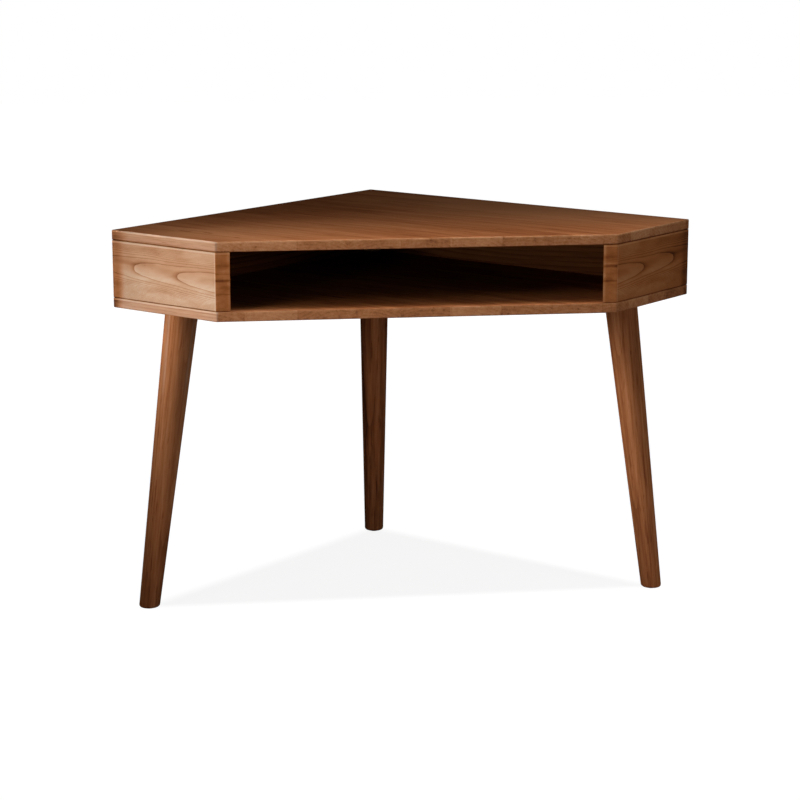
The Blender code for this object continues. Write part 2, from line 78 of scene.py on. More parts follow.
ARRIS_STEPS = 6
INNER_ARRIS = 0.0008
INNER_STEPS = 3
SAME_PLACE = 1e-6
SHARP_ANGLE = math.radians(35.0)
STAVE_WIDTH = 0.068
FIRST_JOINT = 0.012
JOINT_LINE = 0.0003
RING_WIDTH = 0.0062
WOOD_TONE = 0.36
WOOD_SHINE = 0.0
PORE_DEPTH = 0.00012
BOTTOM_SEED = 41.0
BOTTOM_LOOK = {
    "staves": (0.02, 0.05, 0.04, -0.03, 0.03, 0.09, 0.04, 0.08, 0.09, 0.03, 0.04, -0.05, -0.02),
    "edges": (0.35, 0.22, 0.12, -0.02, 0.12, 0.03, 0.08, -0.14, 0.07, 0.09, 0.12, 0.01, 0.10),
    "wall_band": 0.030,
    "wall_shade_tone": 0.66,
    "pale_front": 0.0,
    "pale_end": 0.21,
    "arris_highlight_tone": 0.08,
    "groove_shade": 0.10,
    "shade_off_front": 0.0,
}
WALNUT_COLORS = (
    (0.00, (0.445, 0.186, 0.080, 1.0)),
    (0.30, (0.345, 0.128, 0.050, 1.0)),
    (0.55, (0.240, 0.078, 0.027, 1.0)),
    (0.80, (0.130, 0.038, 0.013, 1.0)),
    (1.00, (0.055, 0.017, 0.007, 1.0)),
)
SAWN_COLORS = (
    (0.00, (0.500, 0.248, 0.124, 1.0)),
    (0.30, (0.400, 0.174, 0.077, 1.0)),
    (0.55, (0.300, 0.115, 0.045, 1.0)),
    (0.80, (0.160, 0.058, 0.023, 1.0)),
    (1.00, (0.070, 0.025, 0.011, 1.0)),
)
# Paler, greyer walnut for painted sheen: on the lit left end of the boards, and as a painted
# highlight stripe on the left leg.
SHEEN_COLORS = (
    (0.00, (0.440, 0.285, 0.195, 1.0)),
    (0.30, (0.345, 0.190, 0.115, 1.0)),
    (0.55, (0.255, 0.118, 0.060, 1.0)),
    (0.80, (0.140, 0.052, 0.022, 1.0)),
    (1.00, (0.070, 0.024, 0.010, 1.0)),
)
# Darker, redder walnut for painted shade on the faces inside the cubby.
CUBBY_SHADE_COLORS = (
    (0.00, (0.340, 0.145, 0.056, 1.0)),
    (0.30, (0.240, 0.087, 0.029, 1.0)),
    (0.55, (0.160, 0.049, 0.015, 1.0)),
    (0.80, (0.090, 0.025, 0.008, 1.0)),
    (1.00, (0.044, 0.013, 0.004, 1.0)),
)
back_corner_y = cad_box[1].y + (ROOT_TWO - 1.0) * ARRIS_RADIUS


class Signal:
    """A value, colour or vector in a material. Sums of values are plain Python sums."""

    def __init__(self, tree, socket=None):
        self.tree = tree
        self.socket = socket

    def node(self, kind, settings=None, inputs=None, output=0):
        """Add a node: its settings first, then the values or links of its sockets."""
        made = self.tree.nodes.new("ShaderNode" + kind)
        for name, value in (settings or {}).items():
            if name == "stops":
                stops = made.color_ramp.elements
                stops[0].position, stops[0].color = value[0]
                stops[-1].position, stops[-1].color = value[-1]
                for position, color in value[1:-1]:
                    stops.new(position).color = color
            elif name == "steps":
                made.color_ramp.interpolation = value
            else:
                setattr(made, name, value)
        for name, value in (inputs or {}).items():
            if isinstance(value, Signal):
                self.tree.links.new(value.socket, made.inputs[name])
            else:
                made.inputs[name].default_value = value
        return Signal(self.tree, made.outputs[output])

    def calculate(self, operation, *terms):
        """Add a node that works out one operation."""
        return self.node("Math", {"operation": operation}, dict(enumerate(terms)))

    def __add__(self, other):
        return self.calculate("ADD", self, other)

    def __radd__(self, other):
        return self.calculate("ADD", other, self)

    def __sub__(self, other):
        return self.calculate("SUBTRACT", self, other)

    def __rsub__(self, other):
        return self.calculate("SUBTRACT", other, self)

    def __mul__(self, other):
        return self.calculate("MULTIPLY", self, other)

    def __rmul__(self, other):
        return self.calculate("MULTIPLY", other, self)

    def __truediv__(self, other):
        return self.calculate("DIVIDE", self, other)

    def __pow__(self, other):
        return self.calculate("POWER", self, other)

    def __abs__(self):
        return self.calculate("ABSOLUTE", self)


def fade(value, start, end):
    """A smooth climb from 0 at the start to 1 at the end."""
    span = {"Value": value, "From Min": start, "From Max": end}
    return value.node("MapRange", {"interpolation_type": "SMOOTHSTEP"}, span)


def cloud(place, scale, detail=2.0, rough=0.5):
    """Soft noise, with its number of waves in a metre along each of the three axes."""
    stretched = place.node("VectorMath", {"operation": "MULTIPLY"}, {0: place, 1: scale})
    wave = {"Vector": stretched, "Scale": 1.0, "Detail": detail, "Roughness": rough}
    return place.node("TexNoise", None, wave)


def fraction(value):
    """What is left of a value without its whole steps."""
    return value.calculate("FRACT", value)


def axes_of(place):
    """The three coordinates of a place."""
    split = place.node("SeparateXYZ", None, {0: place})
    parts = split.socket.node.outputs
    return [Signal(place.tree, part) for part in parts]


def from_axes(x, y, z):
    """The place that has these three coordinates."""
    return x.node("CombineXYZ", None, {"X": x, "Y": y, "Z": z})


def start_material(name):
    """A new material, its shader, and the place of each point on the piece."""
    material = bpy.data.materials.new(name)
    material.use_nodes = True
    tree = material.node_tree
    start = Signal(tree)
    place = start.node("TexCoord", None, None, "Object")
    return material, tree.nodes["Principled BSDF"], place


def turned_place(place, location, rotation):
    """The place seen from a frame that stands and is turned as given."""
    stand = {"Vector": place, "Location": location, "Rotation": rotation}
    return place.node("Mapping", {"vector_type": "TEXTURE"}, stand)


def corner_axes(place):
    """Distances from the back corner along the right and the left wall, and the height."""
    corner = turned_place(place, (0.0, back_corner_y, 0.0), (0.0, 0.0, -math.pi / 4.0))
    along, behind, height = axes_of(corner)
    return along, 0.0 - behind, height


def ramp(value, colors):
    """The colour that a value picks from a row of colours."""
    return value.node("ValToRGB", {"stops": colors}, {0: value})


def mixed(mask, under, over):
    """One colour where the mask is 0 and another where it is 1."""
    return mask.node("Mix", {"data_type": "RGBA"}, {0: mask, 6: under, 7: over}, 2)


def cover(shader, color, rough, height, strength, depth):
    """Lead a colour, a roughness and bumps of a given strength and depth to a shader."""
    bump = height.node("Bump", None, {"Strength": strength, "Distance": depth, "Height": height})
    links = color.tree.links
    links.new(color.socket, shader.inputs["Base Color"])
    links.new(rough.socket, shader.inputs["Roughness"])
    links.new(bump.socket, shader.inputs["Normal"])


def finish_wood(shader, grain, darkness, colors, *others, fibre_depth=0.30):
    """Fibres, pores and colour along the grain, whose X is the way that the wood grew."""
    fibres = cloud(grain, (20.0, 430.0, 430.0), 3.0, 0.65)
    pores = fade(cloud(grain, (110.0, 1900.0, 1900.0), 1.0), 0.66, 0.74)
    depth = darkness + fibre_depth * (fibres - 0.5) + 0.20 * pores
    color = ramp(depth, colors)
    for mask, other_colors in others:
        color = mixed(mask, color, ramp(depth, other_colors))
    rough = 0.50 + 0.14 * fibres + 0.20 * pores
    height = (0.05 + fibre_depth) * fibres - 0.9 * pores - 0.3 * darkness
    cover(shader, color, rough, height, 0.7, PORE_DEPTH)
    shader.inputs["Specular IOR Level"].default_value = WOOD_SHINE


def arris_marks(height, low, high):
    """Painted highlight on and just under the upper arris, and painted shade over the lower one."""
    highlight_start, highlight_full, highlight_end = high - 0.0044, high - 0.0026, high - 0.0003
    shade_full, shade_end = low + 0.0006, low + 0.0024
    painted_arris_highlight = fade(height, highlight_start, highlight_full) * (1.0 - fade(height, highlight_end, high))
    painted_groove_shade = 1.0 - fade(height, shade_full, shade_end)
    return painted_arris_highlight, painted_groove_shade


def on_plane(distance):
    """1 on a sawn face, and 0 a millimetre behind it."""
    return 1.0 - fade(distance, 0.0002, 0.0012)


def upright_edge(height, low, high):
    """1 on the sawn edge of a board, and 0 on its two faces."""
    return fade(height, low + 0.0003, low + 0.0015) * (1.0 - fade(height, high - 0.0004, high))


def cubby_face(node, height, low, high):
    """1 on the face of a board that looks into the cubby."""
    shallow, deep = 0.0001, 0.0008
    if node == "bottom_board":
        return fade(height, high - deep, high - shallow)
    return 1.0 - fade(height, low + shallow, low + deep)


def front_over_opening(across, behind_front):
    """1 on the edge over the opening, where the painted shade of the joints is left off, and 0
    beside and behind it.
    """
    start = END_WIDTH + END_THICKNESS
    end = WALL_SIDE - END_THICKNESS
    soft = 0.002
    over_opening = fade(across, start - soft, start + soft)
    over_opening = over_opening * (1.0 - fade(across, end - soft, end + soft))
    return over_opening * (1.0 - fade(behind_front, 0.004, 0.020))


def by_stave(across, tones):
    """The tone of the stave that a point lies on, lifted in the ramp, which has no tone below 0."""
    lift = 0.5
    marks = [(tone + lift, tone + lift, tone + lift, 1.0) for tone in tones]
    joints = [(FIRST_JOINT + n * STAVE_WIDTH) / WALL_SIDE for n in range(len(tones) - 1)]
    share = across / WALL_SIDE
    settings = {"steps": "CONSTANT", "stops": list(zip([0.0] + joints, marks))}
    return share.node("ValToRGB", settings, {0: share}) - lift


def stave_figure(tone, along, across, height, low, seed):
    """The grain of each stave, and the tone with its rings, streaks, flecks and joints."""
    count = (across - FIRST_JOINT) / STAVE_WIDTH
    number = count.calculate("FLOOR", count)
    draw = {"W": number + seed}
    lottery = number.node("TexWhiteNoise", {"noise_dimensions": "1D"}, draw, "Color")
    luck, chance, fate = axes_of(lottery)
    grain = from_axes(along + 3.0 * luck, across + 2.0 * chance, height + 0.5 * fate)
    wander = cloud(grain, (1.6, 10.0, 10.0))
    ripple = cloud(grain, (9.0, 40.0, 40.0))
    middle = (count - number - 0.5) * STAVE_WIDTH
    sideways = middle + 0.09 * (luck - 0.5) + 0.05 * (along - 0.4) * (chance - 0.5)
    deep = height - low + 0.03 + 0.06 * fate
    radius = (sideways * sideways + deep * deep) ** 0.5 + 0.016 * wander + 0.0018 * ripple
    ring = fraction(radius / RING_WIDTH) ** 2.5
    streaks = cloud(grain, (7.0, 115.0, 115.0), 4.0, 0.72)
    drifts = cloud(grain, (1.1, 24.0, 24.0))
    flecks = fade(cloud(grain, (14.0, 150.0, 150.0), 1.0), 0.66, 0.72)
    off_joint = abs(count - count.calculate("ROUND", count)) * STAVE_WIDTH
    joint = 1.0 - fade(off_joint, 0.0, JOINT_LINE)
    darkness = tone + 0.13 * ring + 0.78 * (streaks - 0.5) + 0.36 * (drifts - 0.5)
    return grain, darkness + 0.16 * flecks + 0.20 * joint


def stave_wood(node, look, seed, face_marks):
    """Walnut staves glued edge to edge, each with its own growth rings.

    The look gives the tone of each stave and of its sawn edge, how far and how much painted
    shade darkens the left end towards the wall, how pale the front is, how much painted sheen
    pales the left end, and how much painted highlight and painted shade the upper and lower
    arrises have, with the share of that shade that is left off the front edge over the opening.
    """
    material, shader, place = start_material(node + "_walnut")
    low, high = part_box(node)
    along, across, height = corner_axes(place)
    behind_front = (WALL_SIDE + END_WIDTH) - along - across
    side = upright_edge(height, low.z, high.z)
    painted_arris_highlight, painted_groove_shade = arris_marks(height, low.z, high.z)
    # The left end faces the light and gets painted sheen: paler, greyer colours and a stronger
    # painted arris highlight.
    left_end = fade(across, WALL_SIDE - 0.0040, WALL_SIDE - 0.0010)
    # Painted shade on the left end, darker towards the wall.
    wall_shade = left_end * (1.0 - fade(along, 0.0, look["wall_band"]))
    tone = WOOD_TONE + by_stave(across, look["staves"]) + side * by_stave(across, look["edges"])
    grain, darkness = stave_figure(tone, along, across, height, low.z, seed)
    darkness = darkness + look["wall_shade_tone"] * wall_shade
    if face_marks:
        darkness = face_marks(darkness, along, across, height, high.z)
    darkness = darkness - look["pale_front"] * side * (1.0 - left_end)
    darkness = darkness - look["pale_end"] * side * left_end
    # Painted highlight on the upper arris and painted shade over the lower arris, with the shade
    # left off the front edge over the opening.
    groove_shade = look["groove_shade"] * (1.0 - look["shade_off_front"] * front_over_opening(across, behind_front))
    darkness = darkness - (look["arris_highlight_tone"] + 0.26 * left_end) * painted_arris_highlight + groove_shade * painted_groove_shade
    # Painted shade on the faces inside the cubby, from a little behind the front edge.
    cubby_shade = cubby_face(node, height, low.z, high.z) * fade(behind_front, 0.004, 0.040)
    finish_wood(
        shader, grain, darkness, WALNUT_COLORS, (side, SAWN_COLORS),
        (side * (left_end - 0.7 * wall_shade), SHEEN_COLORS), (cubby_shade, CUBBY_SHADE_COLORS))
    return material


def wall_point(along_right, along_left, height):
    """A point by its distances from the back corner along the right and the left wall."""
    across = (along_right - along_left) / ROOT_TWO
    back = back_corner_y - (along_right + along_left) / ROOT_TWO
    return Vector((across, back, height))


def prism(outline, low, high):
    """A solid between two heights, from points by their distances along the two walls."""
    bm = bmesh.new()
    base = bm.faces.new([bm.verts.new(wall_point(right, left, low)) for right, left in outline])
    grown = bmesh.ops.extrude_face_region(bm, geom=[base])
    raised = [item for item in grown["geom"] if isinstance(item, bmesh.types.BMVert)]
    bmesh.ops.translate(bm, vec=(0.0, 0.0, high - low), verts=raised)
    return bm


def lies_at(edge, height):
    """Whether both ends of an edge are at a height."""
    return all(abs(v.co.z - height) <= SAME_PLACE for v in edge.verts)


def ease(bm, edges, radius=ARRIS_RADIUS, steps=ARRIS_STEPS):
    """Round the given edges as a router cutter does."""
    bmesh.ops.bevel(
        bm, geom=edges, offset=radius, offset_type="OFFSET", segments=steps,
        profile=0.5, affect="EDGES", clamp_overlap=True, material=-1)


def add_piece(name, bm, material, slot, *nodes):
    """Turn a bmesh into a shaded piece of the desk that stands for the given nodes."""
    bmesh.ops.recalc_face_normals(bm, faces=bm.faces)
    mesh = bpy.data.meshes.new(name)
    bm.to_mesh(mesh)
    bm.free()
    mesh.shade_smooth()
    mesh.set_sharp_from_angle(angle=SHARP_ANGLE)
    mesh.materials.append(material)
    piece = bpy.data.objects.new(name, mesh)
    bpy.context.scene.collection.objects.link(piece)
    even = piece.modifiers.new("even_faces", "WEIGHTED_NORMAL")
    even.keep_sharp = True
    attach(piece, "root")
    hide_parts(*nodes)


def board(node, look, seed, face_marks=None):
    """A five-sided board in the place of its node."""
    low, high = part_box(node)
    front = [(WALL_SIDE, END_WIDTH), (END_WIDTH, WALL_SIDE)]
    outline = [(0.0, 0.0), (WALL_SIDE, 0.0), *front, (0.0, WALL_SIDE)]
    bm = prism(outline, low.z, high.z)
    inside = low.z if node == "top_board" else high.z
    ease(bm, [edge for edge in bm.edges if not lies_at(edge, inside)])
    ease(bm, [edge for edge in bm.edges if lies_at(edge, inside)], INNER_ARRIS, INNER_STEPS)
    add_piece("walnut_" + node, bm, stave_wood(node, look, seed, face_marks), "walnut_board", node)


board("bottom_board", BOTTOM_LOOK, BOTTOM_SEED)


# End panels: flat-sawn walnut between the two boards. The grain runs level from the wall
# to the front, where the panel is sawn at 45 degrees, flush with the long front edge.
ARCH_HEIGHT = 0.0845
ARCH_FALL = 0.045
ARCH_SPREAD = 0.000307
ARCH_BLUNTNESS = 2.6
ARCH_START = 0.053
ARCH_STEP = 0.111
CURL_ANGLE = math.radians(38.0)
END_GRAIN_START = 1.7
END_LOOKS = {
    "left": {
        "boldness": 1.0,
        "keenness": 12.0,
        "strip_highlight": 0.08,
        "cuts": (
            (0.105, 0.004, 0.14), (0.089, 0.002, 0.20), (0.077, 0.004, 0.38), (0.051, 0.002, 0.20)),
    },
    "right": {
        "boldness": 1.15,
        "keenness": 6.0,
        "strip_highlight": 0.24,
        "cuts": (
            (0.107, 0.004, 0.14), (0.094, 0.002, -0.14), (0.089, 0.004, 0.40), (0.061, 0.003, 0.30)),
    },
}
# The left panel's paler, greyer walnut: partly its own lighter wood, partly painted sheen of the
# light from the left.
PALE_AND_SHEEN_COLORS = (
    (0.00, (0.430, 0.300, 0.208, 1.0)),
    (0.25, (0.340, 0.198, 0.118, 1.0)),
    (0.45, (0.270, 0.133, 0.068, 1.0)),
    (0.75, (0.160, 0.062, 0.026, 1.0)),
    (1.00, (0.070, 0.025, 0.011, 1.0)),
)
DARK_COLORS = (
    (0.00, (0.420, 0.180, 0.075, 1.0)),
    (0.35, (0.310, 0.108, 0.035, 1.0)),
    (0.60, (0.220, 0.069, 0.020, 1.0)),
    (0.85, (0.110, 0.034, 0.011, 1.0)),
    (1.00, (0.055, 0.018, 0.007, 1.0)),
)
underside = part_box("bottom_board")[0].z


def arch_lines(look, from_wall, level, waver, sawn):
    """The growth rings as tall arches, and the lines that they leave on the sawn front."""
    off = level - ARCH_HEIGHT + ARCH_FALL * from_wall + 0.010 * (waver - 0.5)
    phase = fraction((from_wall - abs(off) ** ARCH_BLUNTNESS / ARCH_SPREAD + ARCH_START) / ARCH_STEP)
    lines = look["boldness"] * (0.17 * phase ** 4.0 + 0.32 * phase ** look["keenness"])
    cuts = 0.0
    for at, width, tone in look["cuts"]:
        cuts = cuts + tone * (1.0 - fade(abs(level - at + 0.006 * (waver - 0.5)), 0.0, width))
    return lines + sawn * (cuts - 0.8 * lines)


def end_panel_wood(side):
    """Level grain with tall arches that open towards the front of the panel."""
    material, shader, place = start_material(side + "_end_walnut")
    look = END_LOOKS[side]
    low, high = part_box(side + "_end_panel")
    forward = axes_of(place)[1] - low.y
    along, across, height = corner_axes(place)
    from_wall, depth = (along, across) if side == "left" else (across, along)
    level = height - underside
    straight = from_axes(from_wall + END_GRAIN_START, level, depth)
    waver = cloud(straight, (9.0, 34.0, 34.0), 3.0)
    grain = from_axes(from_wall + END_GRAIN_START, level + 0.022 * (waver - 0.5), depth)
    sawn = on_plane(forward)
    lines = arch_lines(look, from_wall, level, waver, sawn)
    streaks = cloud(grain, (20.0, 70.0, 70.0), 2.0, 0.45)
    drifts = cloud(grain, (9.0, 46.0, 46.0), 2.0)
    bars = cloud(grain, (1.5, 150.0, 1.5), 3.0, 0.7)
    slanted = turned_place(straight, (0.0, 0.0, 0.0), (0.0, 0.0, CURL_ANGLE))
    curl = cloud(slanted, (55.0, 170.0, 55.0)) * (1.0 - fade(level, 0.050, 0.085))
    upper = fade(level, 0.060, 0.090)
    # Painted shade towards the wall, weaker in the upper part.
    wall_shade = (1.0 - fade(from_wall, 0.012, 0.034)) * (1.0 - 0.5 * upper)
    band = fade(level, 0.084, 0.090) * (1.0 - fade(level, 0.098, 0.106))
    band = band * (1.0 - fade(from_wall, 0.07, 0.13))
    butt = on_plane(from_wall)
    # Painted highlight on the upper arris, painted shade over the lower arris, and a painted shadow
    # just under the top board.
    painted_arris_highlight, painted_groove_shade = arris_marks(height, low.z, high.z - 0.0010)
    painted_shadow_under_top = fade(height, high.z - 0.0018, high.z - 0.0006)
    # Painted highlights on the eased front corner of the outer face and on the inner arris of the
    # sawn strip.
    edge = fade(from_wall, 0.2610, 0.2640) * (1.0 - sawn)
    strip_highlight = fade(from_wall, 0.2790, 0.2825) * sawn
    darkness = 0.13 + lines + 0.36 * wall_shade + 0.17 * upper + 0.16 * band
    darkness = darkness + 0.4 * sawn * (bars - 0.5)
    darkness = darkness + 0.36 * (streaks - 0.5) + 0.50 * (drifts - 0.5) + 0.16 * (curl - 0.3)
    darkness = darkness - (0.28 * edge + look["strip_highlight"] * strip_highlight)
    darkness = darkness - 0.34 * painted_arris_highlight + 0.46 * painted_groove_shade
    darkness = darkness + 0.17 * sawn + 0.14 * butt + 0.40 * painted_shadow_under_top
    if side == "left":
        colors = PALE_AND_SHEEN_COLORS
        others = [(0.7 * wall_shade + 0.12 * upper, DARK_COLORS)]
        darkness = darkness + 0.09 * sawn * (1.0 - upper)
    else:
        colors = DARK_COLORS
        others = []
        # A darker tone for the right panel, and a wider painted shade towards the wall.
        darkness = darkness + 0.06 + 0.15 * (1.0 - fade(from_wall, 0.0, 0.16))
    others += [(sawn, DARK_COLORS), (butt, DARK_COLORS)]
    finish_wood(shader, grain, darkness, colors, *others, fibre_depth=0.05)
    return material


def end_panel(side):
    """An end panel with its outer arrises eased and the inner ones left sharp."""
    node = side + "_end_panel"
    low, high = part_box(node)
    inner = WALL_SIDE - END_THICKNESS
    front = [(WALL_SIDE, END_WIDTH), (inner, END_WIDTH + END_THICKNESS)]
    outline = [(inner, 0.0), (WALL_SIDE, 0.0), *front]
    if side == "left":
        outline = [(left, right) for right, left in outline]
    bm = prism(outline, low.z, high.z)
    inner_face = wall_point(0.0, inner, 0.0) if side == "left" else wall_point(inner, 0.0, 0.0)
    outward = Vector((-1.0 if side == "left" else 1.0, -1.0, 0.0)).normalized()
    just_outside = 0.001
    outer_edges = []
    for edge in bm.edges:
        if max((v.co - inner_face).dot(outward) for v in edge.verts) > just_outside:
            outer_edges.append(edge)
    ease(bm, outer_edges)
    add_piece("walnut_" + node, bm, end_panel_wood(side), "walnut_panel", node)


for side in ("left", "right"):
    end_panel(side)


# Back panels: thin walnut boards along the two walls, mitred at the back corner. They are
# dowelled between the boards, with level grain.
BACK_RING_WIDTH = 0.011
BACK_GRAIN_STARTS = {"left": 8.0, "right": 5.0}
# Painted shade over the whole left back panel.
BACK_SHADES = {"left": 0.30, "right": 0.0}


def back_panel_wood(side):
    """Level grain with soft rings, and painted shade on the face inside the cubby."""
    material, shader, place = start_material(side + "_back_walnut")
    along, across, height = corner_axes(place)
    length, depth = (along, across) if side == "right" else (across, along)
    grain = from_axes(length + BACK_GRAIN_STARTS[side], height, depth)
    wander = cloud(grain, (1.8, 12.0, 12.0), 2.0)
    radius = height - 0.16 * length * (length - 0.7) + 0.035 * wander
    phase = fraction(radius / BACK_RING_WIDTH)
    streaks = cloud(grain, (2.4, 120.0, 120.0), 3.0, 0.55)
    drifts = cloud(grain, (1.3, 26.0, 26.0), 2.0)
    darkness = 0.36 + 0.24 * phase ** 3.0 + 0.5 * (streaks - 0.5) + 0.5 * (drifts - 0.5)
    darkness = darkness + BACK_SHADES[side]
    # Painted shade on the face inside the cubby.
    cubby_shade = fade(depth, 0.010, 0.011)
    finish_wood(shader, grain, darkness, WALNUT_COLORS, (cubby_shade, CUBBY_SHADE_COLORS))
    return material


def dress(node, material):
    """Give a node of the frame its finish."""
    piece = frame["nodes"][node]
    piece.data.materials.clear()
    piece.data.materials.append(material)


for side in ("left", "right"):
    dress(side + "_back_panel", back_panel_wood(side))


# Corner block and dowels: raw beech, planed and sawn, glued in place out of sight.
BEECH_COLORS = (
    (0.00, (0.640, 0.470, 0.300, 1.0)),
    (0.50, (0.520, 0.350, 0.200, 1.0)),
    (1.00, (0.330, 0.190, 0.100, 1.0)),
)


def beech():
    """Pale even wood with short dark flecks."""
    material, shader, place = start_material("beech")
    grain = turned_place(place, (0.0, 0.0, 0.0), (0.0, math.pi / 2.0, 0.0))
    flecks = fade(cloud(grain, (60.0, 900.0, 900.0), 1.0), 0.62, 0.70)
    streaks = cloud(grain, (3.0, 140.0, 140.0), 3.0, 0.5)
    darkness = 0.42 + 0.6 * (streaks - 0.5) + 0.3 * flecks
    finish_wood(shader, grain, darkness, BEECH_COLORS)
    return material


def dress_all(slot, material):
    """Give every node of one material slot the same finish."""
    for row in frame["record"]["subparts"]:
        if row["material_slot"] == slot:
            dress(row["node"], material)


dress_all("beech", beech())


# Top board: made as the bottom board, and laid over the panels. Its face has painted light
# at middle depth and painted shade in the back corner, with a few small knots and slanting
# flames.
TOP_SEED = 17.0
TOP_LOOK = {
    # Stave tones: partly the staves' own, partly painted light towards the left end and painted
    # sheen along the right wall.
    "staves": (-0.24, -0.31, -0.22, -0.07, 0.00, 0.08, 0.12, 0.10, 0.08, -0.02, -0.04, -0.20, -0.16),
    "edges": (0.55, 0.42, 0.26, 0.02, 0.14, 0.06, 0.06, -0.03, 0.11, 0.21, 0.22, 0.24, 0.18),
    "wall_band": 0.052,
    "wall_shade_tone": 0.40,
    "pale_front": 0.07,
    "pale_end": 0.0,
    "arris_highlight_tone": 0.20,
    "groove_shade": 0.40,
    "shade_off_front": 1.0,
}
PIN_KNOTS = (
    (0.124, 0.728, 0.024, 0.0042),
    (0.177, 0.721, 0.015, 0.0046),
    (0.262, 0.735, 0.011, 0.0034),
)
FLAME_LINES = (
    (0.541, 0.408, 0.055, 0.0022, 0.21, 0.26),
    (0.232, 0.700, 0.036, 0.0060, 0.35, -0.20),
)


def on_face(height, level):
    """1 on the upper face, and 0 a millimetre under it."""
    return fade(height, level - 0.0010, level - 0.0002)


def pin_knots(along, across):
    """The small dark knots, each drawn out along the grain."""
    marks = 0.0
    for at_along, at_across, length, width in PIN_KNOTS:
        lengthwise = (along - at_along) / length
        sideways = (across - at_across) / width
        off = lengthwise * lengthwise + sideways * sideways
        marks = marks + (1.0 - fade(off, 0.0, 1.0))
    return marks


def flame_lines(along, across):
    """The few slanting lines where the grain dips, dark or pale."""
    marks = 0.0
    for at_along, at_across, half, width, slope, tone in FLAME_LINES:
        off = abs((across - at_across) - slope * (along - at_along))
        reach = 1.0 - fade(abs(along - at_along), 0.4 * half, half)
        marks = marks + tone * reach * (1.0 - fade(off, 0.0, width))
    return marks


def top_face_marks(darkness, along, across, height, level):
    """The darkness with painted light and shade, knots and flames on the upper face."""
    furthest = along.calculate("MINIMUM", WALL_SIDE, WALL_SIDE + END_WIDTH - across)
    reach = along / furthest
    # Painted light in a band at middle depth, and painted shade towards the back corner.
    painted_light_band = fade(reach, 0.22, 0.46) * (1.0 - fade(reach, 0.55, 0.95))
    painted_light_and_shade = 0.22 * (1.0 - fade(along + across, 0.05, 0.40))
    painted_light_and_shade = painted_light_and_shade - (0.15 + 0.10 * (1.0 - fade(across, 0.10, 0.22))) * painted_light_band
    darkness = darkness + painted_light_and_shade * fade(height, level - 0.0004, level)
    darkness = darkness + 0.48 * (pin_knots(along, across) * on_face(height, level))
    return darkness + flame_lines(along, across) * on_face(height, level)


board("top_board", TOP_LOOK, TOP_SEED, top_face_marks)


# Legs: turned walnut, a straight taper, square at the top and cut level at the foot. The
# grain runs down the leg. A hanger bolt in the top screws it to its plate.
LEG_TOP_RADIUS = 0.0325
LEG_FOOT_RADIUS = 0.0204
LEG_TOP_CHAMFER = 0.0015
LEG_FOOT_ROUND = 0.005
LEG_DROP = 0.012
SIDE_LEG_SPLAY = 0.079
BACK_LEG_LEAN = 0.012
LEG_SIDES = 96
FOOT_STEPS = 6
BOLT_HOLE_RADIUS = 0.0046
BOLT_HOLE_DEPTH = 0.037
LEG_RING_WIDTH = 0.0058
# Tones and edges are partly painted shade and light: darker towards the foot and over the back leg,
# darker along the left side, lighter on the side legs' right side and darker on the back leg's.
LEG_LOOKS = {
    "left": {
        "slope": (-SIDE_LEG_SPLAY, 0.0),
        "start": 1.0,
        "heart": (0.050, 0.030),
        "tones": (0.20, 0.40),
        "edges": (0.10, -0.50, -0.22),
    },
    "right": {
        "slope": (SIDE_LEG_SPLAY, 0.0),
        "start": 4.0,
        "heart": (-0.045, 0.035),
        "tones": (0.33, 0.37),
        "edges": (0.10, -0.50, -0.24),
    },
    "back": {
        "slope": (0.0, BACK_LEG_LEAN),
        "start": 7.0,
        "heart": (0.030, 0.055),
        "tones": (0.48, 0.50),
        "edges": (0.34, -0.20, 0.14),
    },
}


def leg_frame(side):
    """A leg's frame, with its Z up the leg's axis and its origin level with the underside."""
    lean = Vector((*LEG_LOOKS[side]["slope"], -underside))
    glide_low, glide_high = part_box(side + "_foot_glide")
    foot_middle = (glide_low + glide_high) / 2.0
    foot_middle.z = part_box(side + "_leg")[0].z
    top = foot_middle - lean * (underside - foot_middle.z) / underside
    turn = (-lean).to_track_quat("Z", "Y").to_matrix().to_4x4()
    return Matrix.Translation(top) @ turn, foot_middle, lean.length


